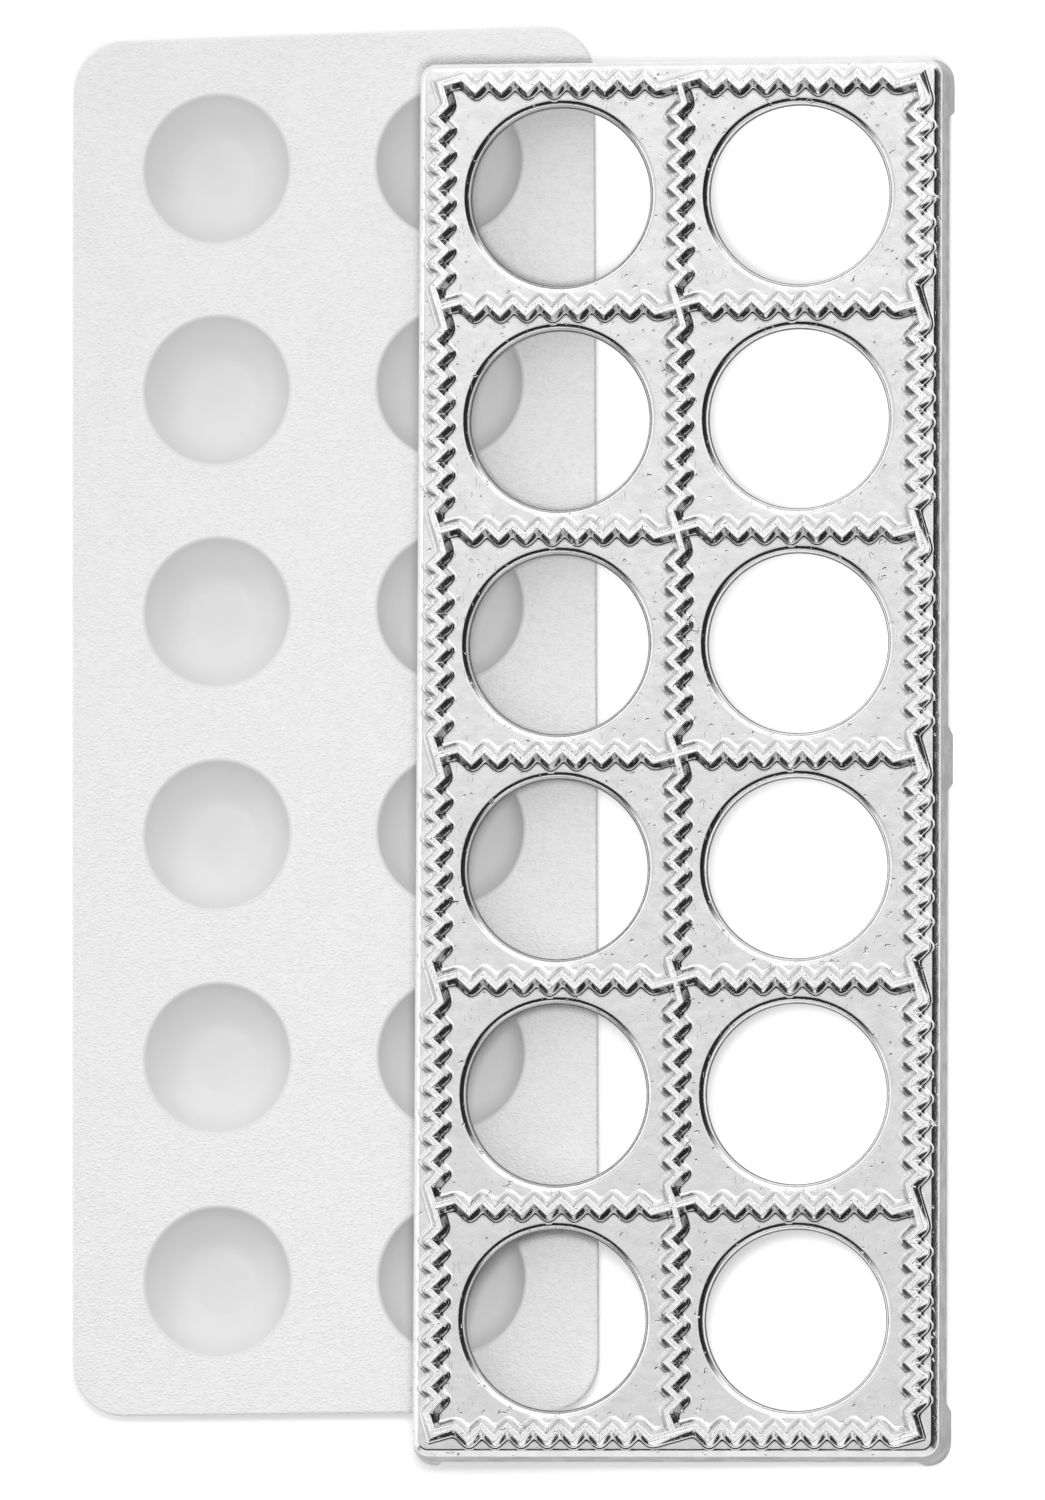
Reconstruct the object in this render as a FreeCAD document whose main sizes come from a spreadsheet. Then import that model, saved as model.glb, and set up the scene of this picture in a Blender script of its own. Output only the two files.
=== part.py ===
import FreeCAD, Part
import Sketcher
import math
import os

os.makedirs("parts", exist_ok=True)
doc = FreeCAD.newDocument("ravioli_mold")
Vector = FreeCAD.Vector

# Driving dimensions, in millimetres and degrees
drivingSizes = {
    "pitchAcross": 50.8,         # one pasta cell
    "pitchAlong": 47.6,
    "cellsAcross": 2,
    "cellsAlong": 6,
    "faceMargin": 4.6,           # border ridge line to the edge of the face
    "faceCorner": 3.2,
    "skirtDraft": 7,
    "frameHeight": 14,           # tips of the feet to the face
    "faceThickness": 3,
    "skirtWall": 2.8,
    "shoulderEdge": 1.2,
    "footHeight": 5,
    "cornerFootAlong": 13,
    "cornerFootAcross": 7,
    "middleFoot": 13.5,
    "footSlant": 1.7,            # how much each end of a foot narrows towards its tip
    "holeRadius": 19,
    "ridgeHeight": 2.6,
    "crestWidth": 1.25,
    "ridgeWidth": 3.4,
    "ridgeRoot": 1,            # how deep the ridges run into the face
    "toothAcross": 5.53,         # tooth pitch of the ridges that run across
    "toothAlong": 5.18,
    "toothReach": 1.3,           # swing of the zigzag to each side
    "teethPerCell": 8,
    "pressMarginAcross": 6.2,    # outermost cells to the press's edge
    "pressMarginAlong": 4.45,
    "pressCorner": 11,
    "sheetThickness": 1.8,
    "sheetEdge": 0.5,
    "dimpleRadius": 15.9,
    "dimpleDepth": 7.2,
    "dimpleFloor": 7,            # radius of the flat bottom
    "dimpleBulge": 1.35,         # how far the bowl wall swells out of its chord
    "pressAcross": 75.1,         # middle of the frame to the middle of the press
    "pressAlong": 9.2,
    "pressTurn": 0.46,           # the press lies slightly askew
    "restClearance": 0.1,        # under the frame's foot that stands on the press
}
sizes = doc.addObject("Spreadsheet::Sheet", "sizes")
for row, (name, value) in enumerate(drivingSizes.items(), start=1):
    sizes.set("A%d" % row, name)
    sizes.set("B%d" % row, str(value))
    sizes.setAlias("B%d" % row, name)
doc.recompute()

# Lengths that follow from the driving dimensions, as expressions
netWidth = "(sizes.pitchAcross * sizes.cellsAcross)"
netLength = "(sizes.pitchAlong * sizes.cellsAlong)"
faceWidth = "(%s + 2 * sizes.faceMargin)" % netWidth
faceLength = "(%s + 2 * sizes.faceMargin)" % netLength
flare = "(2 * sizes.frameHeight * tan(sizes.skirtDraft * 1 deg))"
roofFlare = "(2 * sizes.faceThickness * tan(sizes.skirtDraft * 1 deg))"
baseWidth = "(%s + %s)" % (faceWidth, flare)
baseLength = "(%s + %s)" % (faceLength, flare)
roofHeight = "(sizes.frameHeight - sizes.faceThickness)"
pressHeight = "(sizes.dimpleDepth + sizes.sheetThickness)"
pressWidth = "(%s + 2 * sizes.pressMarginAcross)" % netWidth
pressLength = "(%s + 2 * sizes.pressMarginAlong)" % netLength
firstAcross = "(-sizes.pitchAcross * (sizes.cellsAcross - 1) / 2)"
firstAlong = "(-sizes.pitchAlong * (sizes.cellsAlong - 1) / 2)"


def worth(expression):
    value = sizes.evalExpression(expression.replace("sizes.", ""))
    return float(getattr(value, "Value", value))


def size(name):
    return worth(name)


# Sketch helpers
def sketchOn(body, name, role, height=None):
    sketch = body.newObject("Sketcher::SketchObject", name)
    plane = next(item for item in body.Origin.OriginFeatures if item.Role == role)
    sketch.AttachmentSupport = [(plane, "")]
    sketch.MapMode = "FlatFace"
    if height:
        sketch.setExpression("AttachmentOffset.Base.z", height)
    return sketch


def bind(sketch, kind, picks, expression):
    index = sketch.addConstraint(Sketcher.Constraint(kind, *picks, worth(expression)))
    sketch.setExpression("Constraints[%d]" % index, expression)


def roundedRectangle(sketch, width, length, corner):
    halfWidth = worth(width) / 2
    halfLength = worth(length) / 2
    radius = worth(corner)
    signs = [(1, -1), (1, 1), (-1, 1), (-1, -1)]
    centres = [Vector(a * (halfWidth - radius), b * (halfLength - radius), 0) for a, b in signs]
    for turn, centre in enumerate(centres):
        start = (turn - 1) * math.pi / 2
        circle = Part.Circle(centre, Vector(0, 0, 1), radius)
        sketch.addGeometry(Part.ArcOfCircle(circle, start, start + math.pi / 2))
        outward = Vector(math.cos(start + math.pi / 2), math.sin(start + math.pi / 2), 0) * radius
        sketch.addGeometry(Part.LineSegment(centre + outward, centres[(turn + 1) % 4] + outward))
    for edge in range(8):
        sketch.addConstraint(Sketcher.Constraint("Tangent", edge, 2, (edge + 1) % 8, 1))
    for line in (1, 5):
        sketch.addConstraint(Sketcher.Constraint("Vertical", line))
    for line in (3, 7):
        sketch.addConstraint(Sketcher.Constraint("Horizontal", line))
    for arc in (2, 4, 6):
        sketch.addConstraint(Sketcher.Constraint("Equal", 0, arc))
    sketch.addConstraint(Sketcher.Constraint("Symmetric", 1, 1, 5, 1, -1, 1))
    bind(sketch, "Radius", (0,), corner)
    bind(sketch, "DistanceX", (5, 1, 1, 1), width)
    bind(sketch, "DistanceY", (7, 1, 3, 1), length)


def polygon(sketch, corners):
    """A closed outline whose corners are given as pairs of expressions."""
    points = [Vector(worth(across), worth(up), 0) for across, up in corners]
    count = len(points)
    first = sketch.GeometryCount
    for corner in range(count):
        sketch.addGeometry(Part.LineSegment(points[corner], points[(corner + 1) % count]))
    for corner in range(count):
        after = first + (corner + 1) % count
        sketch.addConstraint(Sketcher.Constraint("Coincident", first + corner, 2, after, 1))
    for corner, (across, up) in enumerate(corners):
        pinPoint(sketch, first + corner, 1, across, up)


def pinPoint(sketch, geometry, end, across, up):
    for kind, expression, axis in (("DistanceX", across, -2), ("DistanceY", up, -1)):
        if abs(worth(expression)) < 1e-9:
            sketch.addConstraint(Sketcher.Constraint("PointOnObject", geometry, end, axis))
        else:
            bind(sketch, kind, (-1, 1, geometry, end), expression)


def levelEdges(shape, height, test):
    """Names of the edges that lie level at a height and pass a test of their own."""
    names = []
    for number, edge in enumerate(shape.Edges, start=1):
        box = edge.BoundBox
        if abs(box.ZMin - height) < 1e-4 and abs(box.ZMax - height) < 1e-4 and test(edge):
            names.append("Edge%d" % number)
    return names


def isOutline(halfWidth, halfLength):
    def test(edge):
        centre = edge.BoundBox.Center
        return abs(centre.x) > halfWidth or abs(centre.y) > halfLength
    return test


def repeatCells(body, name, originals):
    cells = body.newObject("PartDesign::MultiTransform", name)
    cells.Originals = originals
    rows = []
    for role, way in (("X_Axis", "Across"), ("Y_Axis", "Along")):
        row = body.newObject("PartDesign::LinearPattern", name + way)
        row.Direction = (next(item for item in body.Origin.OriginFeatures if item.Role == role), [""])
        row.Mode = "Spacing"
        row.setExpression("Offset", "sizes.pitch" + way)
        row.setExpression("Occurrences", "sizes.cells" + way)
        rows.append(row)
    cells.Transformations = rows
    body.Tip = cells
    doc.recompute()
    return cells


def easeEdges(body, name, base, edges, amount):
    chamfer = body.newObject("PartDesign::Chamfer", name)
    chamfer.Base = (base, edges)
    chamfer.setExpression("Size", amount)
    body.Tip = chamfer
    doc.recompute()
    return chamfer


# Casting: drafted shell, feet and round holes
def castingBody():
    body = doc.addObject("PartDesign::Body", "casting")

    # The face outline pushed down, with the skirt leaning outwards
    outerFace = sketchOn(body, "outerFace", "XY_Plane", "sizes.frameHeight")
    roundedRectangle(outerFace, faceWidth, faceLength, "sizes.faceCorner")
    block = body.newObject("PartDesign::Pad", "block")
    block.Profile = outerFace
    block.Reversed = True
    block.setExpression("Length", "sizes.frameHeight")
    block.setExpression("TaperAngle", "sizes.skirtDraft")
    doc.recompute()
    shoulderEdges = levelEdges(block.Shape, size("frameHeight"), lambda edge: True)
    shoulder = easeEdges(body, "shoulder", block, shoulderEdges, "sizes.shoulderEdge")
    solidVolume = shoulder.Shape.Volume

    # Hollow underside, its walls parallel to the skirt
    inset = " - 2 * sizes.skirtWall"
    innerRoof = sketchOn(body, "innerRoof", "XY_Plane", roofHeight)
    roundedRectangle(innerRoof, faceWidth + " + " + roofFlare + inset,
                     faceLength + " + " + roofFlare + inset,
                     "(sizes.faceCorner + %s / 2 - sizes.skirtWall)" % roofFlare)
    hollow = body.newObject("PartDesign::Pocket", "hollow")
    hollow.Profile = innerRoof
    hollow.setExpression("Length", roofHeight)
    hollow.setExpression("TaperAngle", "sizes.skirtDraft")
    doc.recompute()
    assert hollow.Shape.Volume < solidVolume

    # Gaps between the corner feet, seen along the frame
    tipAcross = "(%s / 2 - sizes.cornerFootAcross + sizes.footSlant)" % baseWidth
    rootAcross = "(%s / 2 - sizes.cornerFootAcross)" % baseWidth
    endGap = sketchOn(body, "endGap", "XZ_Plane")
    polygon(endGap, [("-" + tipAcross, "0"), (tipAcross, "0"),
                     (rootAcross, "sizes.footHeight"), ("-" + rootAcross, "sizes.footHeight")])
    # Gaps beside the middle feet, seen across the frame
    tipAlong = "(%s / 2 - sizes.cornerFootAlong + sizes.footSlant)" % baseLength
    rootAlong = "(%s / 2 - sizes.cornerFootAlong)" % baseLength
    middleTip = "(sizes.middleFoot / 2 - sizes.footSlant)"
    middleRoot = "(sizes.middleFoot / 2)"
    sideGap = sketchOn(body, "sideGap", "YZ_Plane")
    for sign in ("", "-"):
        polygon(sideGap, [(sign + middleTip, "0"), (sign + tipAlong, "0"),
                          (sign + rootAlong, "sizes.footHeight"),
                          (sign + middleRoot, "sizes.footHeight")])
    lastVolume = hollow.Shape.Volume
    for name, sketch in (("endGaps", endGap), ("sideGaps", sideGap)):
        pocket = body.newObject("PartDesign::Pocket", name)
        pocket.Profile = sketch
        pocket.Type = "ThroughAll"
        pocket.SideType = "Symmetric"
        doc.recompute()
        assert pocket.Shape.Volume < lastVolume - 1
        lastVolume = pocket.Shape.Volume

    # Round holes, one in the middle of each cell
    holeSketch = sketchOn(body, "holeOutline", "XY_Plane", "sizes.frameHeight")
    centre = Vector(worth(firstAcross), worth(firstAlong), 0)
    holeSketch.addGeometry(Part.Circle(centre, Vector(0, 0, 1), size("holeRadius")))
    bind(holeSketch, "Radius", (0,), "sizes.holeRadius")
    pinPoint(holeSketch, 0, 3, firstAcross, firstAlong)
    hole = body.newObject("PartDesign::Pocket", "hole")
    hole.Profile = holeSketch
    hole.Type = "ThroughAll"
    doc.recompute()
    assert hole.Shape.Volume < lastVolume - 1
    repeatCells(body, "holes", [hole])
    return body


# Crimping ridges: zigzag lines with sloping flanks
def zigzagLine(cells, pitch, tooth):
    """Crest line of one ridge as (along, across) pairs, with a long slanted run at each crossing."""
    half = tooth / 2
    reach = size("toothReach")
    corners = 2 * round(size("teethPerCell"))
    lead = (pitch - (corners - 1) * half) / 2
    slope = reach / lead
    overrun = size("crestWidth") / 2
    line = [(-overrun, -overrun * slope)]
    for cell in range(cells):
        for corner in range(corners):
            side = reach if corner % 2 == 0 else -reach
            line.append((cell * pitch + lead + corner * half, side))
    line.append((cells * pitch + overrun, overrun * slope))
    return line


def besideLine(line, width, endReach):
    """Closed outline at half a width on both sides of a line, its ends pushed out by endReach."""
    directions = []
    for start, end in zip(line, line[1:]):
        length = math.dist(start, end)
        directions.append(((end[0] - start[0]) / length, (end[1] - start[1]) / length))
    left = []
    right = []
    for index, point in enumerate(line):
        before = directions[max(index - 1, 0)]
        after = directions[min(index, len(directions) - 1)]
        mitre = 1 + before[0] * after[0] + before[1] * after[1]
        shift = [(-before[1] - after[1]) / mitre, (before[0] + after[0]) / mitre]
        push = 0
        if index == 0:
            push = -endReach
        elif index == len(line) - 1:
            push = endReach
        base = (point[0] + push * after[0], point[1] + push * after[1])
        left.append((base[0] + shift[0] * width / 2, base[1] + shift[1] * width / 2))
        right.append((base[0] - shift[0] * width / 2, base[1] - shift[1] * width / 2))
    return left + right[::-1]


def ridgeStrand(line, place):
    height = size("ridgeHeight")
    root = size("ridgeRoot")
    spread = (size("ridgeWidth") - size("crestWidth")) / height
    rootWidth = size("crestWidth") + spread * (height + root)
    flank = spread * (height + root) / 2
    root, crest = ([place(along, across, size("frameHeight") + level)
                    for along, across in besideLine(line, width, reach)]
                   for width, reach, level in ((rootWidth, flank, -root),
                                               (size("crestWidth"), 0, height)))
    rings = [root, crest]
    for index in range(len(root)):
        rings.append([root[index - 1], root[index], crest[index], crest[index - 1]])
    faces = [Part.Face(Part.makePolygon(ring + ring[:1])) for ring in rings]
    strand = Part.Solid(Part.makeShell(faces))
    if strand.Volume < 0:
        strand.reverse()
    return strand


def ridgeNet():
    pitchAcross = size("pitchAcross")
    pitchAlong = size("pitchAlong")
    across = round(size("cellsAcross"))
    along = round(size("cellsAlong"))
    leftEdge = -pitchAcross * across / 2
    farEdge = pitchAlong * along / 2
    crossLine = zigzagLine(across, pitchAcross, size("toothAcross"))
    longLine = zigzagLine(along, pitchAlong, size("toothAlong"))
    strands = []
    for row in range(along + 1):
        level = farEdge - row * pitchAlong
        strands.append(ridgeStrand(crossLine, lambda a, c, z: Vector(leftEdge + a, level + c, z)))
    for column in range(across + 1):
        side = leftEdge + column * pitchAcross
        strands.append(ridgeStrand(longLine, lambda a, c, z: Vector(side + c, farEdge - a, z)))
    return strands[0].multiFuse(strands[1:])


# Press plate: a moulded sheet with round dimples
def pressBody():
    body = doc.addObject("PartDesign::Body", "press_plate")
    body.Label = "press_plate"
    plateOutline = sketchOn(body, "plateOutline", "XY_Plane", "sizes.dimpleDepth")
    roundedRectangle(plateOutline, pressWidth, pressLength, "sizes.pressCorner")
    plate = body.newObject("PartDesign::Pad", "plate")
    plate.Profile = plateOutline
    plate.setExpression("Length", "sizes.sheetThickness")
    doc.recompute()

    outerRim = "(sizes.dimpleRadius + 0.6 * sizes.sheetThickness)"
    outerFloor = "(sizes.dimpleFloor + sizes.dimpleBulge + 0.7 * sizes.sheetThickness)"
    middleSheet = "(sizes.dimpleDepth + sizes.sheetThickness / 2)"
    outside = bowlSketch(body, "domeProfile", outerRim, outerFloor, "0", middleSheet, 1)
    dome = body.newObject("PartDesign::Revolution", "dome")
    dome.Profile = outside
    dome.ReferenceAxis = (outside, ["V_Axis"])
    dome.Angle = 360
    doc.recompute()
    domes = repeatCells(body, "domes", [dome])
    assert domes.Shape.Volume > plate.Shape.Volume + 1

    inside = bowlSketch(body, "dimpleProfile", "sizes.dimpleRadius", "sizes.dimpleFloor",
                        "sizes.sheetThickness", "(%s + sizes.sheetThickness)" % pressHeight, 2)
    dimple = body.newObject("PartDesign::Groove", "dimple")
    dimple.Profile = inside
    dimple.ReferenceAxis = (inside, ["V_Axis"])
    dimple.Angle = 360
    doc.recompute()
    assert dimple.Shape.Volume < domes.Shape.Volume - 1
    dimples = repeatCells(body, "dimples", [dimple])

    outline = isOutline(worth(pressWidth) / 2 - size("pressCorner"),
                        worth(pressLength) / 2 - size("pressCorner"))
    plateEdges = levelEdges(dimples.Shape, worth(pressHeight), outline)
    plateEdges += levelEdges(dimples.Shape, size("dimpleDepth"), outline)
    easeEdges(body, "plateEdge", dimples, plateEdges, "sizes.sheetEdge")
    return body


def bowlSketch(body, name, rim, floor, floorLevel, topLevel, wallSteps):
    """Half section of a bowl: flat floor, a wall whose corners lie outside its chord, and a lid."""
    sketch = sketchOn(body, name, "XZ_Plane")
    sketch.setExpression("AttachmentOffset.Base.x", firstAcross)
    sketch.setExpression("AttachmentOffset.Base.z", "-" + firstAlong)
    spread = "(%s - %s)" % (rim, floor)
    chord = "sqrt(%s^2 + sizes.dimpleDepth^2)" % spread
    wall = []
    for step in range(wallSteps + 1):
        part = step / wallSteps
        swell = "(%.4f * sizes.dimpleBulge / %s)" % (4 * part * (1 - part), chord)
        across = "(%s + %.4f * %s + %s * sizes.dimpleDepth)" % (floor, part, spread, swell)
        up = "(%s + %.4f * sizes.dimpleDepth - %s * %s)" % (floorLevel, part, swell, spread)
        wall.append((across, up))
    polygon(sketch, [("0", floorLevel)] + wall + [(rim, topLevel), ("0", topLevel)])
    return sketch


casting = castingBody()
ridges = doc.addObject("Part::Feature", "crimpingRidges")
ridges.Shape = ridgeNet()
frame = doc.addObject("Part::MultiFuse", "cutting_frame")
frame.Label = "cutting_frame"
frame.Shapes = [casting, ridges]
frame.Refine = True
press = pressBody()
doc.recompute()

# The press lies on its domes. The frame leans on it with its far left foot, and its right feet
# stand on the table, so its lean follows from the height of the press.
footTip = size("cornerFootAcross") - size("footSlant")
leverArm = worth(baseWidth) - footTip
lean = math.asin((worth(pressHeight) + size("restClearance")) / leverArm)
pivot = Vector(worth(baseWidth) / 2, 0, 0)
leaning = FreeCAD.Rotation(Vector(0, 1, 0), math.degrees(lean))
frame.Placement = FreeCAD.Placement(Vector(0, 0, 0), leaning, pivot)
turned = FreeCAD.Rotation(Vector(0, 0, 1), size("pressTurn"))
press.Placement = FreeCAD.Placement(Vector(-size("pressAcross"), size("pressAlong"), 0), turned)
doc.recompute()

# Origin at the middle of the whole, on the table
whole = frame.Shape.optimalBoundingBox(False)
whole.add(press.Shape.optimalBoundingBox(False))
toOrigin = FreeCAD.Placement(Vector(-whole.Center.x, -whole.Center.y, 0), FreeCAD.Rotation())
for piece in (frame, press):
    piece.Placement = toOrigin.multiply(piece.Placement)
doc.recompute()

for item in doc.Objects:
    if "Invalid" in item.State or "Error" in item.State:
        raise RuntimeError("%s failed" % item.Label)
for piece in (frame, press):
    if piece.Shape.isNull() or not piece.Shape.isValid():
        raise RuntimeError("%s has no valid shape" % piece.Label)
for piece in (frame, press):
    piece.Shape.exportStep("parts/%s.step" % piece.Label)
    box = piece.Shape.optimalBoundingBox(False)
    print(piece.Label, len(piece.Shape.Solids), "solid", round(piece.Shape.Volume), "mm3",
          [round(v, 2) for v in (box.XMin, box.XMax, box.YMin, box.YMax, box.ZMin, box.ZMax)])
print("lean", round(math.degrees(lean), 3))
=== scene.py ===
import math

import bmesh
import bpy
from mathutils import Matrix, Vector


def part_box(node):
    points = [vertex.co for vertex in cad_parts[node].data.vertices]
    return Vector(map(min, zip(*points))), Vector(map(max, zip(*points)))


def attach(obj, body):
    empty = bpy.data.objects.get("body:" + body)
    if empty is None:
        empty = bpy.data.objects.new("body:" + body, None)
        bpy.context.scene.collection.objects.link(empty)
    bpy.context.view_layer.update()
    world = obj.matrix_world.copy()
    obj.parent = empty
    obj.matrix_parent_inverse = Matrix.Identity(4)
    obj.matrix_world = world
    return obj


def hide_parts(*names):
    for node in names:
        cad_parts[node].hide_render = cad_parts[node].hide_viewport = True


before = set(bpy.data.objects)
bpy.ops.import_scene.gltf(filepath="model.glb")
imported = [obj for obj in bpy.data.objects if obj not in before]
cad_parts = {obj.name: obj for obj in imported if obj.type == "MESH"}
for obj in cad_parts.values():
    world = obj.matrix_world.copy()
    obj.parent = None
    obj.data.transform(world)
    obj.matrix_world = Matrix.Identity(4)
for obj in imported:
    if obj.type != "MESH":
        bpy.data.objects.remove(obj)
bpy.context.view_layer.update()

print("frame loaded")

# The casting and the press plate are drawn in millimetres and scaled by mm when they are placed
mm = 0.001
meshing = {"weldWithin": 0.0005, "bendSteps": 4, "normalWeight": 60}


# Mesh helpers: closed rings of points, joined ring to ring
def addRing(bm, points):
    return [bm.verts.new(point) for point in points]


def joinRings(bm, rings, material=0):
    for lower, upper in zip(rings, rings[1:]):
        for index in range(len(lower)):
            ahead = (index + 1) % len(lower)
            face = bm.faces.new((lower[index], lower[ahead], upper[ahead], upper[index]))
            face.material_index = material


# A ring closed with a fan of triangles to its middle.
def closeRing(bm, ring, centre, level, material):
    middle = bm.verts.new((*centre, level))
    for index in range(len(ring)):
        bm.faces.new((ring[index], ring[(index + 1) % len(ring)], middle)).material_index = material


# Points round one cell, counter-clockwise from its near left corner.
def cellOutline(net, centre, level):
    corners = [(-1, -1), (1, -1), (1, 1), (-1, 1)]
    steps = net["sideSteps"]
    halfAcross = net["pitchAcross"] / 2
    halfAlong = net["pitchAlong"] / 2
    points = []
    for side in range(4):
        startX, startY = corners[side]
        endX, endY = corners[(side + 1) % 4]
        for step in range(steps):
            part = step / steps
            points.append(Vector((centre[0] + halfAcross * (startX + (endX - startX) * part),
                                  centre[1] + halfAlong * (startY + (endY - startY) * part), level)))
    return points


# The outline's points drawn in to a circle, each along its own line to the centre.
def circleInCell(centre, outline, radius, level):
    points = []
    for corner in outline:
        away = Vector((corner.x - centre[0], corner.y - centre[1]))
        away.normalize()
        points.append(Vector((centre[0] + away.x * radius, centre[1] + away.y * radius, level)))
    return points


# One such circle for each (radius, level) pair.
def circleRings(bm, centre, outline, profile):
    return [addRing(bm, circleInCell(centre, outline, radius, level)) for radius, level in profile]


# Points round the whole net of cells, at the same places as the cells' own corners.
def netOutline(net, level):
    steps = net["sideSteps"]
    halfAcross = net["pitchAcross"] * net["cellsAcross"] / 2
    halfAlong = net["pitchAlong"] * net["cellsAlong"] / 2
    corners = [(-halfAcross, -halfAlong), (halfAcross, -halfAlong),
               (halfAcross, halfAlong), (-halfAcross, halfAlong)]
    counts = [net["cellsAcross"] * steps, net["cellsAlong"] * steps] * 2
    points = []
    for side, count in enumerate(counts):
        start = Vector((*corners[side], level))
        end = Vector((*corners[(side + 1) % 4], level))
        points += [start.lerp(end, step / count) for step in range(count)]
    return points


# A rounded rectangle with as many points as netOutline, some of them spread over each corner.
def roundedOutline(net, halfAcross, halfAlong, radius, level):
    bend = net["cornerSteps"]
    counts = [net["cellsAcross"] * net["sideSteps"], net["cellsAlong"] * net["sideSteps"]] * 2
    centres = [(-halfAcross + radius, -halfAlong + radius), (halfAcross - radius, -halfAlong + radius),
               (halfAcross - radius, halfAlong - radius), (-halfAcross + radius, halfAlong - radius)]
    outwards = [math.radians(angle) for angle in (225, 315, 45, 135)]      # through the corners' middles
    halfCorner = math.radians(45)
    points = []
    for side, count in enumerate(counts):
        following = (side + 1) % 4
        for step in range(count):
            if step < bend:
                angle = outwards[side] + halfCorner * step / bend
                centre = centres[side]
            elif step > count - bend:
                angle = outwards[following] - halfCorner * (count - step) / bend
                centre = centres[following]
            else:
                angle = outwards[side] + halfCorner
                part = (step - bend) / (count - 2 * bend)
                centre = (centres[side][0] + (centres[following][0] - centres[side][0]) * part,
                          centres[side][1] + (centres[following][1] - centres[side][1]) * part)
            points.append(Vector((centre[0] + radius * math.cos(angle),
                                  centre[1] + radius * math.sin(angle), level)))
    return points


def cellCentres(net):
    return [((column - (net["cellsAcross"] - 1) / 2) * net["pitchAcross"],
             (row - (net["cellsAlong"] - 1) / 2) * net["pitchAlong"])
            for column in range(net["cellsAcross"]) for row in range(net["cellsAlong"])]


# (sine, cosine) pairs of even steps over a quarter turn.
def quarterTurn():
    steps = meshing["bendSteps"]
    angles = [math.radians(90) * step / steps for step in range(steps + 1)]
    return [(math.sin(angle), math.cos(angle)) for angle in angles]


# A short curve from start to end that turns at the corner.
def curveAt(corner, start, end, steps):
    parts = [step / steps for step in range(steps + 1)]
    return [start * (1 - part) ** 2 + corner * 2 * part * (1 - part) + end * part ** 2 for part in parts]


def meshObject(name, bm, materials=()):
    bmesh.ops.remove_doubles(bm, verts=bm.verts, dist=meshing["weldWithin"])
    bmesh.ops.recalc_face_normals(bm, faces=bm.faces)
    mesh = bpy.data.meshes.new(name)
    bm.to_mesh(mesh)
    bm.free()
    piece = bpy.data.objects.new(name, mesh)
    bpy.context.collection.objects.link(piece)
    for material in materials:
        mesh.materials.append(material)
    return piece


# Keep what the modifiers make as the piece's own mesh.
def applyModifiers(piece):
    depsgraph = bpy.context.evaluated_depsgraph_get()
    made = bpy.data.meshes.new_from_object(piece.evaluated_get(depsgraph))
    piece.modifiers.clear()
    piece.data = made


def cutOrJoin(piece, other, operation):
    change = piece.modifiers.new(operation.lower(), "BOOLEAN")
    change.operation = operation
    change.solver = "MANIFOLD"
    change.object = other
    applyModifiers(piece)
    bpy.data.objects.remove(other)


def finishShading(piece, sharpAngle):
    piece.data.shade_smooth()
    piece.data.set_sharp_from_angle(angle=math.radians(sharpAngle))
    evener = piece.modifiers.new("evenShading", "WEIGHTED_NORMAL")
    evener.keep_sharp = True
    evener.weight = meshing["normalWeight"]


# Node helpers
def newMaterial(name):
    material = bpy.data.materials.new(name)
    material.use_nodes = True
    nodes = material.node_tree.nodes
    return material, nodes, material.node_tree.links, nodes["Principled BSDF"]


def noiseAt(nodes, links, source, scale, detail=2, roughness=0.5, output="Fac"):
    noise = nodes.new("ShaderNodeTexNoise")
    noise.inputs["Scale"].default_value = scale
    noise.inputs["Detail"].default_value = detail
    noise.inputs["Roughness"].default_value = roughness
    links.new(source, noise.inputs["Vector"])
    return noise.outputs[output]


def spread(nodes, links, source, low, high, start=0.3, end=0.7, kind="LINEAR"):
    ranged = nodes.new("ShaderNodeMapRange")
    ranged.interpolation_type = kind
    for name, value in (("From Min", start), ("From Max", end), ("To Min", low), ("To Max", high)):
        ranged.inputs[name].default_value = value
    links.new(source, ranged.inputs["Value"])
    return ranged.outputs["Result"]


# A smooth step between two angles in degrees, of a value that is their sine or cosine.
def stepOver(nodes, links, source, function, angles, low, high):
    start, end = [function(math.radians(angle)) for angle in angles]
    return spread(nodes, links, source, low, high, start, end, "SMOOTHSTEP")


def calculate(nodes, links, operation, first, second):
    step = nodes.new("ShaderNodeMath")
    step.operation = operation
    for socket, value in zip(step.inputs, (first, second)):
        if isinstance(value, (int, float)):
            socket.default_value = value
        else:
            links.new(value, socket)
    return step.outputs["Value"]


def greyColour(nodes, links, grey):
    colour = nodes.new("ShaderNodeCombineColor")
    for channel in ("Red", "Green", "Blue"):
        links.new(grey, colour.inputs[channel])
    return colour.outputs["Color"]


def addBump(nodes, links, height, distance, before=None):
    bump = nodes.new("ShaderNodeBump")
    bump.inputs["Strength"].default_value = 1
    bump.inputs["Distance"].default_value = distance
    links.new(height, bump.inputs["Height"])
    if before:
        links.new(before, bump.inputs["Normal"])
    return bump.outputs["Normal"]


# Hollows where a noise rises past its edges.
def addHollows(nodes, links, place, scale, edges, depth, before):
    hollows = spread(nodes, links, noiseAt(nodes, links, place, scale, detail=1), 0, -1, *edges)
    return addBump(nodes, links, hollows, depth, before)


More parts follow.
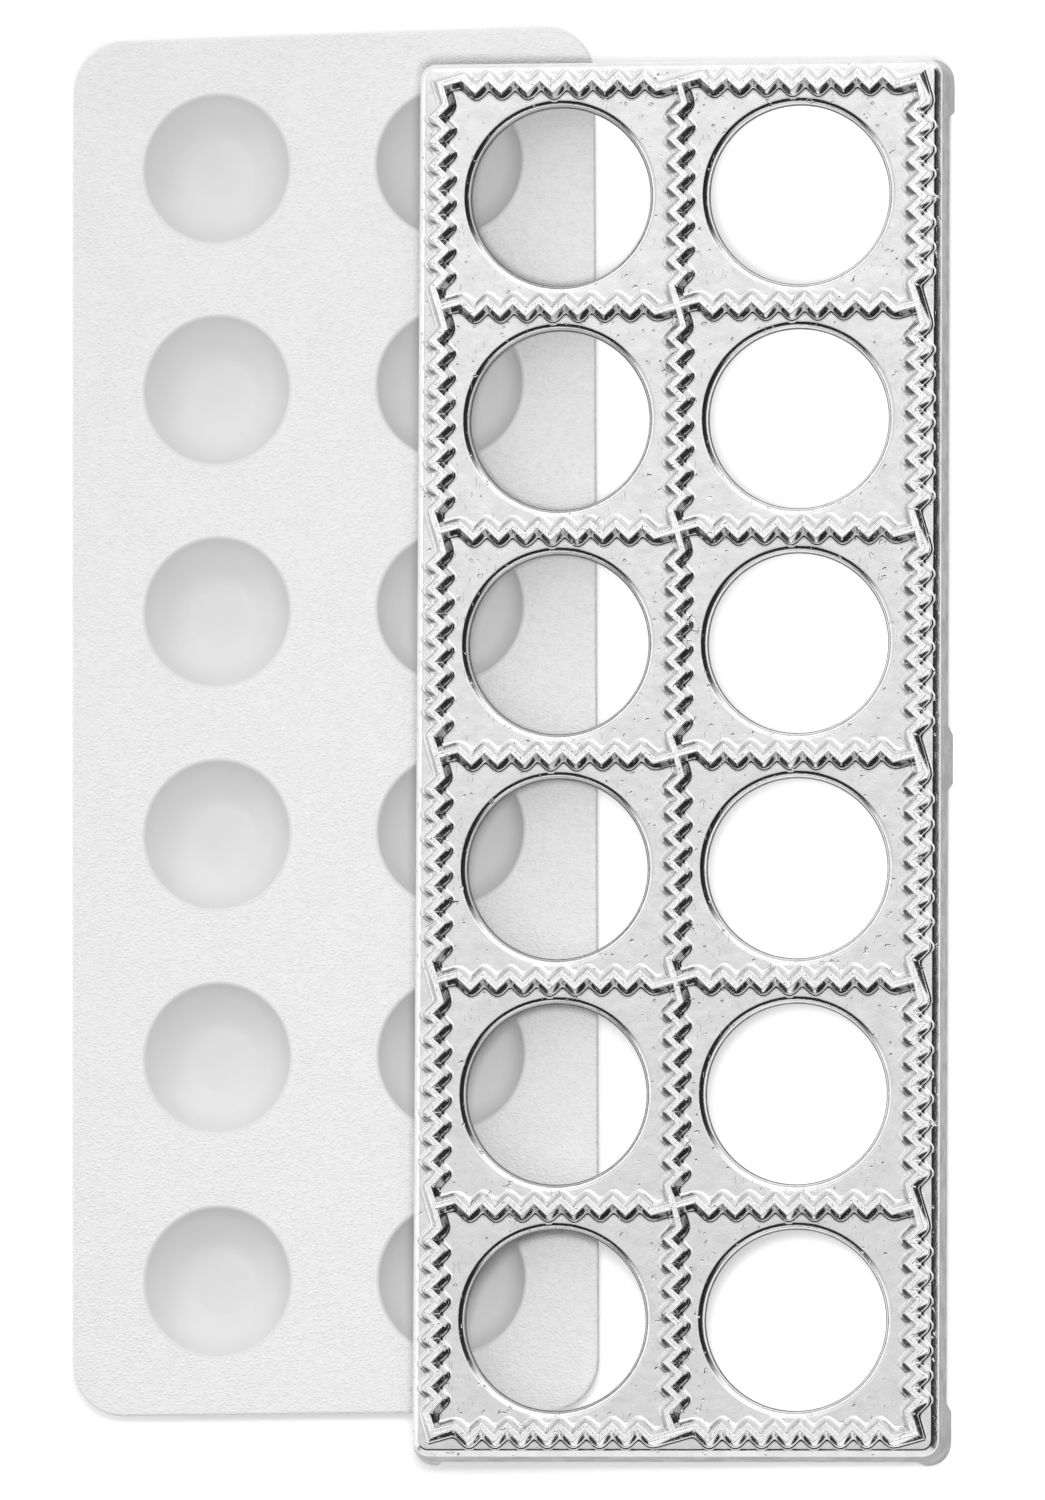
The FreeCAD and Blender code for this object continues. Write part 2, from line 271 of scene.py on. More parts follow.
# Cast aluminium: a satin face; a rough skirt, underside and hole lips whose darker grey is painted shade; and
# crests whose lighter grey is a painted highlight
castMetal = {
    "darkGrey": 0.67, "lightGrey": 0.76, "mottleScale": 260, "roughness": (0.18, 0.12),
    "peelScale": 420, "peelDepth": 0.00003,
    "pitScale": 2600, "pitDepth": 0.000012,
    "dentScale": 620, "dentEdges": (0.70, 0.76), "dentDepth": 0.00012,
    "scratchStretch": (3600, 420, 420), "scratchTurn": 38,
    "scratchEdges": (0.72, 0.78), "scratchDepth": 0.00004,
}
# Rough as-cast metal for the skirt, underside and hole lips: rougher, and its dark grey is painted shade
asCastMetalPaintedShade = {
    "darkGrey": 0.23, "lightGrey": 0.33, "mottleScale": 300, "roughness": (0.45, 0.35),
    "peelScale": 700, "peelDepth": 0.00004,
    "pitScale": 3200, "pitDepth": 0.000015,
    "dentScale": 500, "dentEdges": (0.66, 0.74), "dentDepth": 0.00012,
    "scratchStretch": (3000, 500, 500), "scratchTurn": 20,
    "scratchEdges": (0.72, 0.78), "scratchDepth": 0.00003,
}
# Crest metal: the same cast metal with a lighter grey, a painted highlight on the crests
crestMetalPaintedHighlight = {
    "darkGrey": 0.80, "lightGrey": 0.90, "mottleScale": 700, "roughness": (0.24, 0.14),
    "peelScale": 900, "peelDepth": 0.00003,
    "pitScale": 2600, "pitDepth": 0.00001,
    "dentScale": 900, "dentEdges": (0.66, 0.74), "dentDepth": 0.00008,
    "scratchStretch": (4200, 700, 700), "scratchTurn": -50,
    "scratchEdges": (0.62, 0.7), "scratchDepth": 0.00004,
}
# Slots: the satin face, the rough metal darkened as painted shade, and the crest metal lightened as a painted
# highlight
metalParts = {"face": 0, "roughPaintedShade": 1, "crest": 2}


def castMetalMaterial(name, settings):
    material, nodes, links, shader = newMaterial(name)
    place = nodes.new("ShaderNodeTexCoord").outputs["Object"]
    mottle = noiseAt(nodes, links, place, settings["mottleScale"], detail=4, roughness=0.6)
    grey = spread(nodes, links, mottle, settings["darkGrey"], settings["lightGrey"])
    links.new(greyColour(nodes, links, grey), shader.inputs["Base Color"])
    shader.inputs["Metallic"].default_value = 1
    links.new(spread(nodes, links, mottle, *settings["roughness"]), shader.inputs["Roughness"])
    peel = noiseAt(nodes, links, place, settings["peelScale"], detail=1)
    normal = addBump(nodes, links, peel, settings["peelDepth"])
    pits = noiseAt(nodes, links, place, settings["pitScale"])
    normal = addBump(nodes, links, pits, settings["pitDepth"], normal)
    normal = addHollows(nodes, links, place, settings["dentScale"],
                        settings["dentEdges"], settings["dentDepth"], normal)
    stretch = nodes.new("ShaderNodeMapping")
    stretch.inputs["Rotation"].default_value = (0, 0, math.radians(settings["scratchTurn"]))
    stretch.inputs["Scale"].default_value = settings["scratchStretch"]
    links.new(place, stretch.inputs["Vector"])
    normal = addHollows(nodes, links, stretch.outputs["Vector"], 1,
                        settings["scratchEdges"], settings["scratchDepth"], normal)
    links.new(normal, shader.inputs["Normal"])
    return material


# White plastic: leather grain on the flat, smooth in the dimples, where a greyer white is painted shade
whitePlastic = {
    # smoothWhite, lower than grainWhite, is painted shade in the dimples
    "grainWhite": 0.85, "smoothWhite": 0.73, "grainRoughness": 0.42, "smoothRoughness": 0.32,
    "shadeScale": 90, "shadeSpread": 0.01,
    "grainScale": 1050, "wanderScale": 840, "grainWarp": 0.0006, "grainStretch": (0.8, 1.35, 1),
    "grooveWidth": 0.42, "grainDepth": 0.00014,
    "fineScale": 2400, "fineDepth": 0.00003,
}
plasticParts = {"grained": 0, "smooth": 1}


# The edges of stretched, wandering cells, as grooves between them.
def leatherGrooves(nodes, links, place, settings):
    wander = noiseAt(nodes, links, place, settings["wanderScale"], output="Color")
    warp = nodes.new("ShaderNodeVectorMath")
    warp.operation = "MULTIPLY_ADD"
    warp.inputs[1].default_value = (settings["grainWarp"],) * 3
    links.new(wander, warp.inputs[0])
    links.new(place, warp.inputs[2])
    stretch = nodes.new("ShaderNodeVectorMath")
    stretch.operation = "MULTIPLY"
    stretch.inputs[1].default_value = settings["grainStretch"]
    links.new(warp.outputs["Vector"], stretch.inputs[0])
    cells = nodes.new("ShaderNodeTexVoronoi")
    cells.feature = "DISTANCE_TO_EDGE"
    cells.inputs["Scale"].default_value = settings["grainScale"]
    links.new(stretch.outputs["Vector"], cells.inputs["Vector"])
    return spread(nodes, links, cells.outputs["Distance"], 0, 1, 0, settings["grooveWidth"])


def whitePlasticMaterial(name, settings, grained):
    material, nodes, links, shader = newMaterial(name)
    place = nodes.new("ShaderNodeTexCoord").outputs["Object"]
    kind = "grain" if grained else "smooth"
    # The smooth kind's greyer white is painted shade
    white = settings[kind + "White"]
    shade = noiseAt(nodes, links, place, settings["shadeScale"], detail=3)
    grey = spread(nodes, links, shade, white - settings["shadeSpread"], white + settings["shadeSpread"])
    links.new(greyColour(nodes, links, grey), shader.inputs["Base Color"])
    shader.inputs["Roughness"].default_value = settings[kind + "Roughness"]
    fine = noiseAt(nodes, links, place, settings["fineScale"])
    normal = addBump(nodes, links, fine, settings["fineDepth"])
    if grained:
        grooves = leatherGrooves(nodes, links, place, settings)
        normal = addBump(nodes, links, grooves, settings["grainDepth"], normal)
    links.new(normal, shader.inputs["Normal"])
    return material


# Cutting frame: cast face with round holes, a leaning skirt, six feet and zigzag ridges
castFrame = {
    "pitchAcross": 50.8, "pitchAlong": 47.6, "cellsAcross": 2, "cellsAlong": 6,
    "sideSteps": 24, "cornerSteps": 4, "sharpAngle": 38,
    "faceMargin": 4.6, "faceCorner": 3.2, "leastCorner": 0.3,
    "draft": 7, "height": 14, "faceThickness": 3, "skirtWall": 2.8,
    "lipRound": 0.3, "lipMiddle": (0.3, 0.2), "roofRound": 1, "roofInset": 0.05,
    "shoulderSteps": ((-1.5, 0), (-1.27, 0.04), (-1.08, 0.14), (-0.9, 0.28),
                      (0.07, 1.16), (0.14, 1.36), (0.21, 1.75)),    # outward from the margin, down
    "holeRadius": 19,
    "rimSteps": ((1.65, 0), (1.47, 0.03), (1.24, 0.13), (0.92, 0.34), (0.6, 0.61),
                 (0.42, 0.86), (0.31, 1.2), (0.27, 2.05)),          # outward from the hole, down
    "lipSteps": ((0.22, 2.2), (0.08, 2.3), (0, 2.45), (0.05, 2.8), (0.35, 3)),
    "footHeight": 5, "cornerFootAlong": 13, "cornerFootAcross": 7, "middleFoot": 13.5, "footSlant": 1.7,
    "cutBelow": 1, "cutPast": 5, "restClearance": 0.1,
}


# (radius, level) pairs down through one hole.
def holeProfile(settings, part):
    return [(settings["holeRadius"] + outward, settings["height"] - down) for outward, down in settings[part]]


# How far the skirt's foot lies outside the net of cells.
def skirtFlare(settings):
    return settings["faceMargin"] + settings["height"] * math.tan(math.radians(settings["draft"]))


# (outward step from the net, level) pairs from the face over the shoulder to the underside.
def skirtProfile(settings):
    top = settings["height"]
    under = top - settings["faceThickness"]
    lean = math.tan(math.radians(settings["draft"]))
    profile = [(settings["faceMargin"] + outward, top - down) for outward, down in settings["shoulderSteps"]]
    lip = settings["lipRound"]
    outerMiddle, innerMiddle = settings["lipMiddle"]
    outer = skirtFlare(settings)
    inner = outer - settings["skirtWall"]
    profile += [(outer - lip * lean, lip), (outer - lip * outerMiddle, lip * outerMiddle), (outer - lip, 0),
                (inner + lip, 0), (inner + lip * innerMiddle, lip * outerMiddle), (inner - lip * lean, lip)]
    roof = settings["roofRound"]
    wallTop = settings["faceMargin"] + (top - under) * lean - settings["skirtWall"]
    inset = roof * settings["roofInset"]
    profile += [(wallTop + roof * (lean - 1 + cosine) - inset, under - roof * (1 - sine))
                for sine, cosine in quarterTurn()]
    return profile


def castingShell(settings, materials):
    bm = bmesh.new()
    top = settings["height"]
    under = top - settings["faceThickness"]
    smooth = metalParts["face"]
    # The rough slot on the hole lips, skirt and underside is darker metal: painted shade
    roughPaintedShade = metalParts["roughPaintedShade"]
    for centre in cellCentres(settings):
        outline = cellOutline(settings, centre, top)
        rim = [addRing(bm, outline)] + circleRings(bm, centre, outline, holeProfile(settings, "rimSteps"))
        joinRings(bm, rim, smooth)
        lip = rim[-1:] + circleRings(bm, centre, outline, holeProfile(settings, "lipSteps"))
        lip.append(addRing(bm, [Vector((point.x, point.y, under)) for point in outline]))
        joinRings(bm, lip, roughPaintedShade)
    netAcross = settings["pitchAcross"] / 2 * settings["cellsAcross"]
    netAlong = settings["pitchAlong"] / 2 * settings["cellsAlong"]
    rings = [addRing(bm, netOutline(settings, top))]
    for outwards, level in skirtProfile(settings):
        corner = max(settings["faceCorner"] + outwards - settings["faceMargin"], settings["leastCorner"])
        rings.append(addRing(bm, roundedOutline(settings, netAcross + outwards, netAlong + outwards,
                                                corner, level)))
    rings.append(addRing(bm, netOutline(settings, under)))
    faceRings = len(settings["shoulderSteps"]) + 1
    joinRings(bm, rings[:faceRings], smooth)
    joinRings(bm, rings[faceRings - 1:], roughPaintedShade)
    return meshObject("castFrame", bm, materials)


# A closed bar with that profile, long enough to pass right through the casting.
def prism(name, profile, axis, reach):
    bm = bmesh.new()
    rings = []
    for end in (-reach, reach):
        if axis == "Y":
            rings.append(addRing(bm, [(across, end, up) for across, up in profile]))
        else:
            rings.append(addRing(bm, [(end, across, up) for across, up in profile]))
    joinRings(bm, rings)
    bm.faces.new(rings[0])
    bm.faces.new(rings[1])
    return meshObject(name, bm)


# A gap between two feet, wider lower down because the feet slant.
def gapProfile(settings, near, far):
    slant = settings["footSlant"]
    footTop = settings["footHeight"]
    below = -settings["cutBelow"]
    slope = slant / footTop
    return [(near - slant + slope * below, below), (far + slant - slope * below, below),
            (far, footTop), (near, footTop)]


def cutFeet(casting, settings):
    flare = skirtFlare(settings)
    halfAcross = settings["pitchAcross"] * settings["cellsAcross"] / 2 + flare
    halfAlong = settings["pitchAlong"] * settings["cellsAlong"] / 2 + flare
    past = settings["cutPast"]
    endReach = halfAcross - settings["cornerFootAcross"]
    endGap = gapProfile(settings, -endReach, endReach)
    cutOrJoin(casting, prism("endGap", endGap, "Y", halfAlong + past), "DIFFERENCE")
    sideGap = gapProfile(settings, settings["middleFoot"] / 2, halfAlong - settings["cornerFootAlong"])
    for side in (-1, 1):
        profile = [(side * along, up) for along, up in sideGap]
        cutOrJoin(casting, prism("sideGap", profile, "X", halfAcross + past), "DIFFERENCE")


# Crimping ridges: a zigzag crest with sloping flanks that run out into the face
crimpingRidge = {
    "height": 2.6, "crestWidth": 1.25, "baseWidth": 3.4, "root": 1.2,
    "toothAcross": 5.53, "toothAlong": 5.18, "reach": 1.3, "cornersPerCell": 16, "endShort": 0.03,
    "crestRound": 0.16, "crestMiddle": (0.35, 0.18), "crestSag": 0.05, "crestLevels": 3,
    "flankMiddle": 0.45, "baseRound": 0.85, "footProud": 0.015, "cornerSteps": 3,
    # How far the outer and the inner corners are cut, one pair for each level of ridgeProfile
    "cornerCuts": ((0.12, 0.1), (0.16, 0.12), (0.2, 0.15), (0.6, 0.4), (1.3, 0.7),
                   (1.45, 0.78), (1.6, 0.86), (1.75, 0.94), (1.9, 1.02), (1.9, 1.02)),
}


# Corners of one crest line, with a long slanted run at each crossing.
def zigzagCorners(cells, pitch, tooth, settings):
    corners = settings["cornersPerCell"]
    reach = settings["reach"]
    lead = (pitch - (corners - 1) * tooth / 2) / 2
    slope = reach / lead
    overrun = settings["crestWidth"] / 2 - settings["endShort"]
    line = [Vector((-overrun, -overrun * slope))]
    for cell in range(cells):
        for corner in range(corners):
            side = reach if corner % 2 == 0 else -reach
            line.append(Vector((cell * pitch + lead + corner * tooth / 2, side)))
    line.append(Vector((cells * pitch + overrun, overrun * slope)))
    return line


# The line moved sideways by a width, with each of its corners cut into a short curve.
def besideLine(line, width, endReach, cuts, steps):
    runs = [(end - start).normalized() for start, end in zip(line, line[1:])]
    moved = []
    for index, point in enumerate(line):
        before = runs[max(index - 1, 0)]
        after = runs[min(index, len(runs) - 1)]
        sideways = Vector((-before.y - after.y, before.x + after.x)) / (1 + before.dot(after))
        push = -endReach if index == 0 else endReach if index == len(line) - 1 else 0
        moved.append(point + sideways * width + after * push)
    outerCut, innerCut = cuts
    points = [moved[0]]
    for index in range(1, len(moved) - 1):
        corner = moved[index]
        turn = runs[index - 1].cross(runs[index]) * width       # below 0 on the outer side of the bend
        length = innerCut if turn > 0 else outerCut
        points += curveAt(corner, corner - runs[index - 1] * length, corner + runs[index] * length, steps)
    points.append(moved[-1])
    return points


# (half width, level above the face, corner cuts) from the crest down to the root.
def ridgeProfile(settings):
    crest = settings["crestWidth"] / 2
    base = settings["baseWidth"] / 2
    height = settings["height"]
    slope = (base - crest) / height                    # how much the flank widens for each step down
    rounding = settings["crestRound"]
    middleAcross, middleDown = settings["crestMiddle"]
    flankMiddle = settings["flankMiddle"]
    profile = [(crest - rounding, height),
               (crest - rounding * middleAcross, height - rounding * middleDown),
               (crest + slope * rounding, height - rounding),
               (crest + slope * (height * (1 - flankMiddle)), height * flankMiddle)]
    foot = settings["baseRound"]
    flankAngle = math.atan2(1, slope)                  # from level
    tangent = foot * math.tan(flankAngle / 2)
    steps = meshing["bendSteps"]
    for step in range(steps + 1):
        angle = flankAngle * (1 - step / steps)
        profile.append((base + tangent - foot * math.sin(angle),
                        foot * (1 - math.cos(angle)) + settings["footProud"]))
    profile.append((base + tangent, -settings["root"]))
    return [(*pair, cuts) for pair, cuts in zip(profile, settings["cornerCuts"])]


# One ridge as a closed shell; place turns (along, sideways, up) into a point.
def ridgeStrand(name, line, settings, materials, place):
    bm = bmesh.new()
    slope = (settings["baseWidth"] - settings["crestWidth"]) / 2 / settings["height"]
    levels = []
    for halfWidth, up, cuts in ridgeProfile(settings):
        endReach = slope * (settings["height"] - up)
        left = besideLine(line, halfWidth, endReach, cuts, settings["cornerSteps"])
        right = besideLine(line, -halfWidth, endReach, cuts, settings["cornerSteps"])
        levels.append(addRing(bm, [place(point.x, point.y, up) for point in left + right[::-1]]))
    crestLevels = settings["crestLevels"]
    # The crest levels take the lighter crest metal, a painted highlight
    crestHighlightSlot = metalParts["crest"]
    joinRings(bm, levels[:crestLevels], crestHighlightSlot)
    joinRings(bm, levels[crestLevels - 1:], metalParts["face"])
    crest = levels[0]
    under = levels[-1]
    half = len(crest) // 2
    sag = Vector((0, 0, settings["crestSag"]))
    middle = [bm.verts.new((crest[index].co + crest[-1 - index].co) / 2 - sag) for index in range(half)]
    for index in range(half - 1):
        for corners in ((crest[index], crest[index + 1], middle[index + 1], middle[index]),
                        (middle[index], middle[index + 1], crest[-2 - index], crest[-1 - index])):
            bm.faces.new(corners).material_index = crestHighlightSlot
        bm.faces.new((under[index], under[index + 1], under[-2 - index], under[-1 - index]))
    for end in (0, half - 1):
        bm.faces.new((crest[end], middle[end], crest[-1 - end]))
    return meshObject(name, bm, materials)


def addRidges(casting, settings, ridge, materials):
    acrossLine = zigzagCorners(settings["cellsAcross"], settings["pitchAcross"], ridge["toothAcross"], ridge)
    alongLine = zigzagCorners(settings["cellsAlong"], settings["pitchAlong"], ridge["toothAlong"], ridge)
    leftEdge = -settings["pitchAcross"] * settings["cellsAcross"] / 2
    farEdge = settings["pitchAlong"] * settings["cellsAlong"] / 2
    top = settings["height"]
    for row in range(settings["cellsAlong"] + 1):
        level = farEdge - row * settings["pitchAlong"]
        strand = ridgeStrand("acrossRidge", acrossLine, ridge, materials,
                             lambda along, side, up: (leftEdge + along, level + side, top + up))
        cutOrJoin(casting, strand, "UNION")
    for column in range(settings["cellsAcross"] + 1):
        start = leftEdge + column * settings["pitchAcross"]
        strand = ridgeStrand("alongRidge", alongLine, ridge, materials,
                             lambda along, side, up: (start + side, farEdge - along, top + up))
        cutOrJoin(casting, strand, "UNION")


# Lean the casting over its right lower edge, as the CAD node does.
def placeCasting(casting, settings):
    low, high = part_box("cutting_frame")
    baseWidth = settings["pitchAcross"] * settings["cellsAcross"] + 2 * skirtFlare(settings)
    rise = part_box("press_plate")[1].z / mm + settings["restClearance"]
    footReach = baseWidth - settings["cornerFootAcross"] + settings["footSlant"]
    lean = math.asin(rise / footReach)
    pivot = Matrix.Translation((baseWidth / 2, 0, 0))
    turned = pivot @ Matrix.Rotation(lean, 4, "Y") @ pivot.inverted()
    shift = Matrix.Translation((high.x / mm - baseWidth / 2, (low.y + high.y) / 2 / mm, 0))
    casting.data.transform(Matrix.Scale(mm, 4) @ shift @ turned)
    print("casting leans", round(math.degrees(lean), 3), "degrees")


metals = (castMetalMaterial("castMetal", castMetal), castMetalMaterial("asCastMetalPaintedShade", asCastMetalPaintedShade),
          castMetalMaterial("crestMetalPaintedHighlight", crestMetalPaintedHighlight))
casting = castingShell(castFrame, metals)
cutFeet(casting, castFrame)
addRidges(casting, castFrame, crimpingRidge, metals)
placeCasting(casting, castFrame)
finishShading(casting, castFrame["sharpAngle"])
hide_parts("cutting_frame")
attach(casting, "root")
print("casting", len(casting.data.polygons), "faces")


# Press plate: a thin moulding with round dimples
pressPlate = {
    "pitchAcross": 50.8, "pitchAlong": 47.6, "cellsAcross": 2, "cellsAlong": 6,
    "sideSteps": 18, "cornerSteps": 5, "wallSteps": 12, "domeSteps": 8, "sharpAngle": 50,
    "width": 114, "length": 294.5, "corner": 11, "sheet": 1.8, "edgeRound": 0.6, "turn": 0.46,
    "dimpleRadius": 15.9, "dimpleDepth": 7.2, "dimpleFloor": 7, "bulge": 1.35,
    "rimRound": 0.5, "rimSteps": 4, "rimGap": 0.2, "rimCollar": 3, "domeCollar": 4,
    "floorEase": 0.8, "floorMiddle": 3,
    "domeOutwards": (0.9, 0.2),         # at the rim and at the floor, in sheet thicknesses
    "grainedRings": 3,                  # the cell's outline, the collar and the start of the rim
}


# (radius, level) pairs down a wall that swells out of its chord by the bulge.
def bowlWall(settings, rim, floor, rimLevel, floorLevel, steps):
    chord = Vector((floor - rim, floorLevel - rimLevel))
    middle = Vector((rim, rimLevel)) + chord / 2
    bulge = settings["bulge"]
    radius = (chord.length ** 2 / 4 + bulge ** 2) / (2 * bulge)
    outwards = Vector((-chord.y, chord.x)).normalized()
    centre = middle - outwards * (radius - bulge)
    half = math.asin(chord.length / 2 / radius)
    facing = math.atan2(outwards.y, outwards.x)
    return [(centre.x + radius * math.cos(facing + half - 2 * half * step / steps),
             centre.y + radius * math.sin(facing + half - 2 * half * step / steps))
            for step in range(steps + 1)]


# The first points of a wall, rounded over into the level sheet above it.
def roundedRim(settings, wall):
    size = settings["rimRound"]
    first = Vector(wall[0])
    down = (Vector(wall[1]) - first).normalized()
    outer = first + Vector((size, 0))
    inner = first + down * size
    curve = [(point.x, point.y) for point in curveAt(first, outer, inner, settings["rimSteps"])]
    return curve + [pair for pair in wall[1:] if pair[1] < inner.y - settings["rimGap"]]


# (radius, level) pairs from the sheet's top into a dimple, and from its underside down its dome.
def dimpleProfiles(settings):
    sheet = settings["sheet"]
    under = settings["dimpleDepth"]
    top = under + sheet
    rim = settings["dimpleRadius"]
    floor = settings["dimpleFloor"]
    middle = settings["floorMiddle"]
    wall = bowlWall(settings, rim, floor, top, sheet, settings["wallSteps"])
    inside = [(rim + settings["rimCollar"], top), *roundedRim(settings, wall),
              (floor - settings["floorEase"], sheet), (middle, sheet)]
    rimOut, floorOut = settings["domeOutwards"]
    dome = bowlWall(settings, rim + rimOut * sheet, floor + floorOut * sheet, under, 0, settings["domeSteps"])
    return inside, [(rim + settings["domeCollar"], under), *dome, (middle, 0)]


def pressShell(settings):
    bm = bmesh.new()
    under = settings["dimpleDepth"]
    top = under + settings["sheet"]
    grained = plasticParts["grained"]
    smooth = plasticParts["smooth"]
    grainedRings = settings["grainedRings"]
    inside, outside = dimpleProfiles(settings)
    for centre in cellCentres(settings):
        outline = cellOutline(settings, centre, top)
        rings = [addRing(bm, outline)] + circleRings(bm, centre, outline, inside)
        joinRings(bm, rings[:grainedRings], grained)
        # The dimples and the dome underside take the smooth plastic, whose greyer white is painted shade
        joinRings(bm, rings[grainedRings - 1:], smooth)
        closeRing(bm, rings[-1], centre, settings["sheet"], smooth)
        outline = cellOutline(settings, centre, under)
        rings = [addRing(bm, outline)] + circleRings(bm, centre, outline, outside)
        joinRings(bm, rings, smooth)
        closeRing(bm, rings[-1], centre, 0, smooth)
    edge = settings["edgeRound"]
    profile = [(edge * (1 - sine), top - edge * (1 - cosine)) for sine, cosine in quarterTurn()]
    profile += [(edge * (1 - cosine), under + edge * (1 - sine)) for sine, cosine in quarterTurn()]
    rings = [addRing(bm, netOutline(settings, top))]
    for inset, level in profile:
        rings.append(addRing(bm, roundedOutline(settings, settings["width"] / 2 - inset,
                                                settings["length"] / 2 - inset,
                                                settings["corner"] - inset, level)))
    rings.append(addRing(bm, netOutline(settings, under)))
    joinRings(bm, rings, grained)
    return meshObject("pressPlate", bm)


press = pressShell(pressPlate)
low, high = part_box("press_plate")
press.data.transform(Matrix.Translation(((low.x + high.x) / 2, (low.y + high.y) / 2, 0))
                     @ Matrix.Rotation(math.radians(pressPlate["turn"]), 4, "Z") @ Matrix.Scale(mm, 4))
press.data.materials.append(whitePlasticMaterial("grainedPlastic", whitePlastic, True))
press.data.materials.append(whitePlasticMaterial("smoothPlasticPaintedShade", whitePlastic, False))
finishShading(press, pressPlate["sharpAngle"])
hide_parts("press_plate")
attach(press, "root")
print("press plate", len(press.data.polygons), "faces")


# Worktop: white to the camera and in reflections, and it keeps the soft shadow
worktop = {"halfSide": 4.0, "below": 0.00004, "grey": 0.85, "ownWhite": 0.42, "shadowShare": 0.86}


def buildWorktop(settings):
    half = settings["halfSide"]
    mesh = bpy.data.meshes.new("worktop")
    level = -settings["below"]
    corners = [(-half, -half, level), (half, -half, level), (half, half, level), (-half, half, level)]
    mesh.from_pydata(corners, [], [(0, 1, 2, 3)])
    piece = bpy.data.objects.new("worktop", mesh)
    bpy.context.collection.objects.link(piece)
    material, nodes, links, shader = newMaterial("paleWorktop")
    nodes.remove(shader)
    surface = nodes.new("ShaderNodeBsdfDiffuse")
    surface.inputs["Color"].default_value = (settings["grey"],) * 3 + (1,)
    seenSurface = nodes.new("ShaderNodeBsdfDiffuse")
    seenSurface.inputs["Color"].default_value = (settings["shadowShare"],) * 3 + (1,)
    glow = nodes.new("ShaderNodeEmission")
    glow.inputs["Strength"].default_value = settings["ownWhite"]
    seen = nodes.new("ShaderNodeAddShader")
    links.new(seenSurface.outputs["BSDF"], seen.inputs[0])
    links.new(glow.outputs["Emission"], seen.inputs[1])
    ray = nodes.new("ShaderNodeLightPath")
    shown = ray.outputs["Is Camera Ray"]
    for kind in ("Is Glossy Ray", "Is Transmission Ray"):
        shown = calculate(nodes, links, "MAXIMUM", shown, ray.outputs[kind])
    mix = nodes.new("ShaderNodeMixShader")
    links.new(shown, mix.inputs["Fac"])
    links.new(surface.outputs["BSDF"], mix.inputs[1])
    links.new(seen.outputs["Shader"], mix.inputs[2])
    links.new(mix.outputs["Shader"], nodes["Material Output"].inputs["Surface"])
    mesh.materials.append(material)


buildWorktop(worktop)


# Studio: bright overhead and to the far left, dark low down to the near right. Angles are in degrees
studio = {
    "overhead": 1.04, "overheadSlope": 2.6, "overheadMiddle": 0.087, "overheadLimits": (0.8, 1.28),
    "brightSide": 0.9, "darkSide": 0.02, "darkAzimuth": -56, "darkEdges": (104, 84), "lowBand": (68, 50),
    "horizonBand": (32, 16), "horizonGain": 0.7,
    "overUnit": 1.0001,                 # keeps the level part of a direction above 0 straight up
    "nearBand": (22, 13), "nearEdges": (62, 34), "nearWhite": 1.15,
    "glint": 0.42, "glintAzimuth": 72, "glintHeight": 46, "glintEdges": (36, 16), "softShare": 0.8,
}


